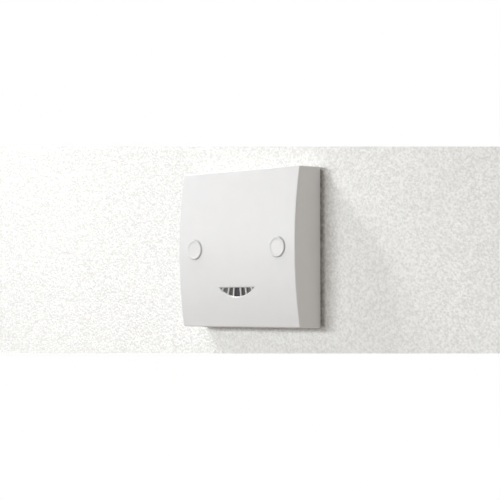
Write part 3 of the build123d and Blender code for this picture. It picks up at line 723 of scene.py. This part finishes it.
# %% Finish the board parts
# A row is a name, a colour, a roughness, the size and the height of the texture
# in millimetres, and the change of shade.
CASES = (
    ("relay_case", (0.030, 0.033, 0.038), 0.38, 0.3, 0.008, 0.10),
    ("capacitor_box", (0.62, 0.50, 0.055), 0.30, 0.4, 0.006, 0.04),
    ("capacitor_sleeve", (0.014, 0.020, 0.045), 0.22, 1.0, 0.01, 0.10),
    ("varistor_coat", (0.020, 0.075, 0.300), 0.28, 1.4, 0.05, 0.10),
    ("fuse_case", (0.036, 0.026, 0.022), 0.40, 0.3, 0.008, 0.10),
    ("chip_black", (0.014, 0.014, 0.015), 0.45, 0.15, 0.006, 0.15),
    ("connector_black", (0.018, 0.018, 0.018), 0.35, 0.3, 0.006, 0.12),
    ("ferrite", (0.040, 0.040, 0.042), 0.6, 0.25, 0.02, 0.25),
)

case_finishes = {
    name: moulded(name, colour, roughness, texture * MM, height * MM, shade)
    for name, colour, roughness, texture, height, shade in CASES
}
print("cases:", ", ".join(case_finishes))

# %% [markdown]
# ## The winding
# The transformer's winding is wrapped in yellow tape that is stretched over
# round wire, so shallow ribs show through it. A wave texture along the depth
# gives the ribs in relief, and in colour as painted shade in the valleys and
# painted light on the ridges.

# %% Finish the winding
TAPE_VALLEY_SHADE = (0.62, 0.42, 0.05)
TAPE_RIDGE_LIGHT = (0.78, 0.58, 0.09)
RIB_SCALE = 0.3 / MM
RIB_WOBBLE = 0.6
RIB_HEIGHT = 0.05 * MM

tape_finish, tape_tree, tape_shader = new_finish("winding_tape", roughness=0.3)
tape_place = tape_tree.nodes.new("ShaderNodeTexCoord")
ribs = tape_tree.nodes.new("ShaderNodeTexWave")
ribs.bands_direction = "Y"
ribs.inputs["Scale"].default_value = RIB_SCALE
ribs.inputs["Distortion"].default_value = RIB_WOBBLE
tape_tree.links.new(tape_place.outputs["Object"], ribs.inputs["Vector"])
# Painted shade and light: the tape is coloured darker in the valleys and lighter on the ridges.
tape_colours = blend_colours(tape_tree, ribs.outputs["Fac"], TAPE_VALLEY_SHADE, TAPE_RIDGE_LIGHT)
tape_tree.links.new(tape_colours, tape_shader.inputs["Base Color"])
relief(tape_tree, tape_shader, ribs.outputs["Fac"], RIB_HEIGHT)
print("finish:", tape_finish.name)

# %% [markdown]
# ## Clear and dyed resin
# The light sensor, the status light and the infrared receiver are cast resin.
# Most of the light goes through, so the shader's transmission does the work and
# the base colour acts as the dye. Tiny ripples from the mould keep the surface
# from looking like perfect glass.

# %% Finish the resins
RESIN_CLEARNESS = 0.85
DYE_CLOUD = 1.5 * MM
DEEP_DYE = -0.12
PALE_DYE = 0.05
RESIN_RIPPLE = 0.8 * MM
RESIN_RIPPLE_HEIGHT = 0.006 * MM


def resin(name, dye, roughness):
    """Cast epoxy that light passes through, tinted by its dye."""
    material, tree, shader = new_finish(name, roughness)
    cloud = remap(tree, grain(tree, DYE_CLOUD), 0.0, 1.0)
    dyed = blend_colours(tree, cloud, tint(dye, DEEP_DYE), tint(dye, PALE_DYE))
    tree.links.new(dyed, shader.inputs["Base Color"])
    shader.inputs["Transmission Weight"].default_value = RESIN_CLEARNESS
    relief(tree, shader, grain(tree, RESIN_RIPPLE), RESIN_RIPPLE_HEIGHT)
    return material


clear_finish = resin("clear_resin", dye=(0.86, 0.89, 0.90), roughness=0.06)
red_finish = resin("red_resin", dye=(0.62, 0.030, 0.022), roughness=0.06)
dark_finish = resin("dark_resin", dye=(0.045, 0.028, 0.045), roughness=0.12)
print("resins:", clear_finish.name, red_finish.name, dark_finish.name)

# %% [markdown]
# ## Giving each solid its finish
# A solid keeps the shape it was measured with. Only the material in its slot is
# changed. One table says which finish goes on which pieces, so no piece can be
# forgotten: the last line prints any that has none.

# %% Put the finishes on
TERMINALS = range(1, 5)

finishes = {
    cover_finish: ["front_cover"],
    lens_finish: ["window_lens"],
    cap_finish: ["screw_cap_left", "screw_cap_right"],
    housing_finish: ["rear_housing"],
    terminal_finish: ["terminal_block"],
    board_finish: ["power_board", "control_board", "antenna_board"],
    zinc_finish: [
        "fixing_screw_left",
        "fixing_screw_right",
        "power_board_screws",
        "control_board_screws",
        *(f"terminal_screw_{number}" for number in TERMINALS),
        *(f"terminal_cage_{number}" for number in TERMINALS),
    ],
    brass_finish: ["terminal_contacts"],
    gilt_finish: ["antenna_patches"],
    tin_finish: ["shield_can", "crystal"],
    case_finishes["relay_case"]: ["relay"],
    case_finishes["capacitor_box"]: ["mains_capacitor"],
    case_finishes["capacitor_sleeve"]: ["supply_capacitor", "output_capacitor"],
    case_finishes["varistor_coat"]: ["varistor"],
    case_finishes["fuse_case"]: ["fuse"],
    case_finishes["chip_black"]: ["rectifier", "supply_chip", "processor", "surface_chips"],
    case_finishes["connector_black"]: ["link_socket", "link_header", "antenna_header"],
    case_finishes["ferrite"]: ["transformer_core"],
    tape_finish: ["transformer_winding"],
    clear_finish: ["light_sensor"],
    red_finish: ["status_light"],
    dark_finish: ["infrared_receiver"],
}
finished = set()
for finish, names in finishes.items():
    for name in names:
        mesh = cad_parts[name].data
        mesh.materials.clear()
        mesh.materials.append(finish)
        finished.add(name)
print("finished:", len(finished), "left over:", sorted(set(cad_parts) - finished))

# %% [markdown]
# ## Turned screws with real threads
# The solids have plain stems, because a thread is too fine for them. Here each
# screw is made again from rings of points. One helper closes a row of rings into
# a solid skin, and a lathe gives it the rings of a round piece: one circle for
# each point of the profile.

# %% Turn round pieces
ROUND_STEPS = 48


def at(centre, radius, angle, depth):
    """A point round an axis that is square to the wall, at a depth in front of it."""
    return (
        centre[0] + radius * math.cos(angle),
        -depth,
        centre[1] + radius * math.sin(angle),
    )


def skin(mesh, rings):
    """Join each ring to the next with faces, and close both ends."""
    for first, second in zip(rings, rings[1:]):
        for step in range(len(first)):
            after = (step + 1) % len(first)
            mesh.faces.new((first[step], first[after], second[after], second[step]))
    mesh.faces.new(rings[0][::-1])
    mesh.faces.new(rings[-1])


def lathe(mesh, centre, profile):
    """Turn (radius, depth) points round the axis, with both ends closed."""
    rings = []
    for radius, depth in profile:
        ring = [
            mesh.verts.new(at(centre, radius, math.tau * step / ROUND_STEPS, depth))
            for step in range(ROUND_STEPS)
        ]
        rings.append(ring)
    skin(mesh, rings)


print("steps round a screw:", ROUND_STEPS)

# %% [markdown]
# A thread is a ridge that winds round the core as a helix: one small
# cross-section, moved and turned a little at each step. It fades in and out at
# its ends as a rolled thread does. Its foot is sunk in the core, so that no gap
# shows between the two.

# %% Wind a thread
THREAD_STEPS = 24
FOOT_SUNK = 0.1
FOOT_HALF = 0.44
CREST_HALF = 0.07


def thread(mesh, centre, core, crest, start, end, pitch):
    """Wind a ridge of one pitch round a core, from one depth to another."""
    count = int(abs(end - start) / pitch * THREAD_STEPS)
    onward = math.copysign(pitch / THREAD_STEPS, end - start)
    sunk = core - FOOT_SUNK * pitch
    fade = THREAD_STEPS // 2
    rings = []
    for step in range(count + 1):
        angle = math.copysign(math.tau * step / THREAD_STEPS, start - end)
        depth = start + onward * step
        height = (crest - core) * min(1.0, step / fade, (count - step) / fade)
        section = (
            (sunk, -FOOT_HALF * pitch),
            (core + height, -CREST_HALF * pitch),
            (core + height, CREST_HALF * pitch),
            (sunk, FOOT_HALF * pitch),
        )
        ring = [mesh.verts.new(at(centre, radius, angle, depth + rise)) for radius, rise in section]
        rings.append(ring)
    skin(mesh, rings)


print("steps in a turn of thread:", THREAD_STEPS)

# %% [markdown]
# A screw head has a short upright side and then a dome, which is part of a
# circle. The slot is sawn with a Boolean, because it leaves crisp edges. Rough
# meshes become objects here too: their faces are turned outwards and shaded
# smooth, except across sharp edges.

# %% Shape and saw the heads
SHARP_ANGLE = math.radians(35)
DOME_STEPS = 8
DOME_TIP = 0.01 * MM
SEAT_HOLE = 0.5
HALF_CUBE = 0.5


def to_object(mesh, name, material):
    """Turn a bmesh into an object with outward faces and smooth round sides."""
    bmesh.ops.recalc_face_normals(mesh, faces=mesh.faces)
    data = bpy.data.meshes.new(name)
    mesh.to_mesh(data)
    mesh.free()
    data.materials.append(material)
    for face in data.polygons:
        face.use_smooth = True
    data.set_sharp_from_angle(angle=SHARP_ANGLE)
    return put_in_scene(name, data)


def domed_head(seat, facing, radius, height):
    """The profile of a round head: an upright side half way up, then a dome."""
    side_height = height / 2
    curve = (radius**2 + side_height**2) / (2 * side_height)
    side_top = seat + facing * side_height
    profile = [(radius * SEAT_HOLE, seat), (radius, seat), (radius, side_top)]
    for step in range(1, DOME_STEPS + 1):
        out = radius * (1 - step / DOME_STEPS) + DOME_TIP
        rise = height - curve + math.sqrt(curve**2 - out**2)
        profile.append((out, seat + facing * rise))
    return profile


def saw_slot(piece, centre, depth, width, length, facing):
    """Saw a straight slot into a head with a Boolean, and apply it."""
    cutter = bmesh.new()
    bmesh.ops.create_cube(cutter, size=1.0)
    for corner in cutter.verts:
        corner.co.x = centre[0] + corner.co.x * length
        corner.co.z = centre[1] + corner.co.z * width
        corner.co.y = -(depth + facing * length * (corner.co.y + HALF_CUBE))
    blade = to_object(cutter, "blade", piece.data.materials[0])
    saw = piece.modifiers.new("slot", "BOOLEAN")
    saw.operation = "DIFFERENCE"
    saw.solver = "EXACT"
    saw.object = blade
    bpy.context.view_layer.update()
    worked_out = piece.evaluated_get(bpy.context.evaluated_depsgraph_get())
    sawn = bpy.data.meshes.new_from_object(worked_out)
    piece.modifiers.clear()
    piece.data = sawn
    bpy.data.objects.remove(blade)


print("steps up a dome:", DOME_STEPS)

# %% [markdown]
# A whole screw is a head, a core that tapers at its end and a thread, and some
# have a plain shank as well. The box of the solid that it stands for gives its
# axis and its tip. The pieces overlap a little where they meet.

# %% Put a screw together
POINT = 0.6 * MM
HEAD_OVERLAP = 0.2 * MM
SAW_REACH = 2.4


def join(pieces, name):
    """Join pieces into the first of them."""
    with bpy.context.temp_override(active_object=pieces[0], selected_editable_objects=pieces):
        bpy.ops.object.join()
    pieces[0].name = name
    return pieces[0]


def make_screw(node, seat, facing, head, slot, shank, core, crest, pitch):
    """A slotted screw in the place of a node, whose head sits on a seat."""
    low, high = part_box(node)
    centre = ((low.x + high.x) / 2, (low.z + high.z) / 2)
    tip = -high.y if facing > 0 else -low.y
    radius, height = head
    width, slot_depth = slot
    shank_radius, shank_length = shank
    thread_start = seat - facing * shank_length

    head_mesh = bmesh.new()
    lathe(head_mesh, centre, domed_head(seat, facing, radius, height))
    head_piece = to_object(head_mesh, node + "_head", zinc_finish)
    slot_floor = seat + facing * (height - slot_depth)
    saw_slot(head_piece, centre, slot_floor, width, SAW_REACH * radius, facing)

    stem_mesh = bmesh.new()
    stem_top = seat + facing * HEAD_OVERLAP
    core_end = tip + facing * POINT
    if shank_length:
        lathe(stem_mesh, centre, [(shank_radius, stem_top), (shank_radius, thread_start)])
    lathe(stem_mesh, centre, [(core, stem_top), (core, core_end), (core - POINT, tip)])
    thread(stem_mesh, centre, core, crest, thread_start, core_end, pitch)
    stem_piece = to_object(stem_mesh, node + "_stem", zinc_finish)
    return join([head_piece, stem_piece], node.replace("screw", "bolt"))


print("point in mm:", round(POINT / MM, 2))

# %% [markdown]
# The fixing screws are M3.5 with a pitch of 0.6 mm and a plain shank that spins
# in the cover.

# %% Make the fixing screws
M35_PITCH = 0.6 * MM
M35_CORE = 1.38 * MM
M35_CREST = 1.75 * MM
M35_SHANK = 1.55 * MM

for side in ("left", "right"):
    made = make_screw(
        node=f"fixing_screw_{side}",
        seat=8.0 * MM,
        facing=1,
        head=(3.3 * MM, 2.4 * MM),
        slot=(0.9 * MM, 1.1 * MM),
        shank=(M35_SHANK, 6.1 * MM),
        core=M35_CORE,
        crest=M35_CREST,
        pitch=M35_PITCH,
    )
    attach(made, f"box_screw_{side}")
    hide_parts(f"fixing_screw_{side}")
    print("made:", made.name, "with", len(made.data.vertices), "points")

# %% [markdown]
# The clamping screws are M3 with a pitch of 0.5 mm. They are threaded right up
# to the head and face the other way, out of the back of the box.

# %% Make the clamping screws
M3_PITCH = 0.5 * MM
M3_CORE = 1.18 * MM
M3_CREST = 1.5 * MM

for number in TERMINALS:
    made = make_screw(
        node=f"terminal_screw_{number}",
        seat=-20.6 * MM,
        facing=-1,
        head=(2.4 * MM, 2.0 * MM),
        slot=(0.8 * MM, 1.0 * MM),
        shank=(M3_CREST, 0.0),
        core=M3_CORE,
        crest=M3_CREST,
        pitch=M3_PITCH,
    )
    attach(made, f"clamp_screw_{number}")
    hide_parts(f"terminal_screw_{number}")
    print("made:", made.name, "with", len(made.data.vertices), "points")

# %% [markdown]
# ## Leads on the processor
# A processor like this stands on thin legs that leave its sides, bend down and
# end in a foot on the board. One leg is a short bent strip, closed by the same
# skin as the screws. The loop repeats it along all four sides, in a single mesh.

# %% Make the processor's leads
SIDES = 4
LEADS_A_SIDE = 8
LEAD_PITCH = 0.8 * MM
LEAD_WIDTH = 0.35 * MM
LEAD_THICKNESS = 0.16 * MM
LEAD_HEIGHT = 0.55 * MM
LEAD_ROOT = -0.2 * MM
LEAD_KNEE = 0.4 * MM
LEAD_SLANT = 0.15 * MM
LEAD_REACH = 1.0 * MM
LEAD_PATH = (
    (LEAD_ROOT, LEAD_HEIGHT),
    (LEAD_KNEE, LEAD_HEIGHT),
    (LEAD_KNEE + LEAD_SLANT, LEAD_THICKNESS),
    (LEAD_REACH, LEAD_THICKNESS),
)
LEAD_CORNERS = ((-0.5, 0.0), (0.5, 0.0), (0.5, 1.0), (-0.5, 1.0))

low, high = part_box("processor")
chip_middle = ((low.x + high.x) / 2, (low.z + high.z) / 2)
half_chip = (high.x - low.x) / 2
board_depth = -high.y

lead_mesh = bmesh.new()
for quarter in range(SIDES):
    turn = quarter * math.tau / SIDES
    out = Vector((math.cos(turn), math.sin(turn)))
    along = Vector((-out.y, out.x))
    for number in range(LEADS_A_SIDE):
        shift = (number - (LEADS_A_SIDE - 1) / 2) * LEAD_PITCH
        rings = []
        for reach, height in LEAD_PATH:
            ring = []
            for sideways, drop in LEAD_CORNERS:
                flat = out * (half_chip + reach) + along * (shift + sideways * LEAD_WIDTH)
                depth = board_depth + height - drop * LEAD_THICKNESS
                corner = (chip_middle[0] + flat.x, -depth, chip_middle[1] + flat.y)
                ring.append(lead_mesh.verts.new(corner))
            rings.append(ring)
        skin(lead_mesh, rings)
leads = to_object(lead_mesh, "processor_leads", tin_finish)
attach(leads, "base")
print("leads:", SIDES * LEADS_A_SIDE)
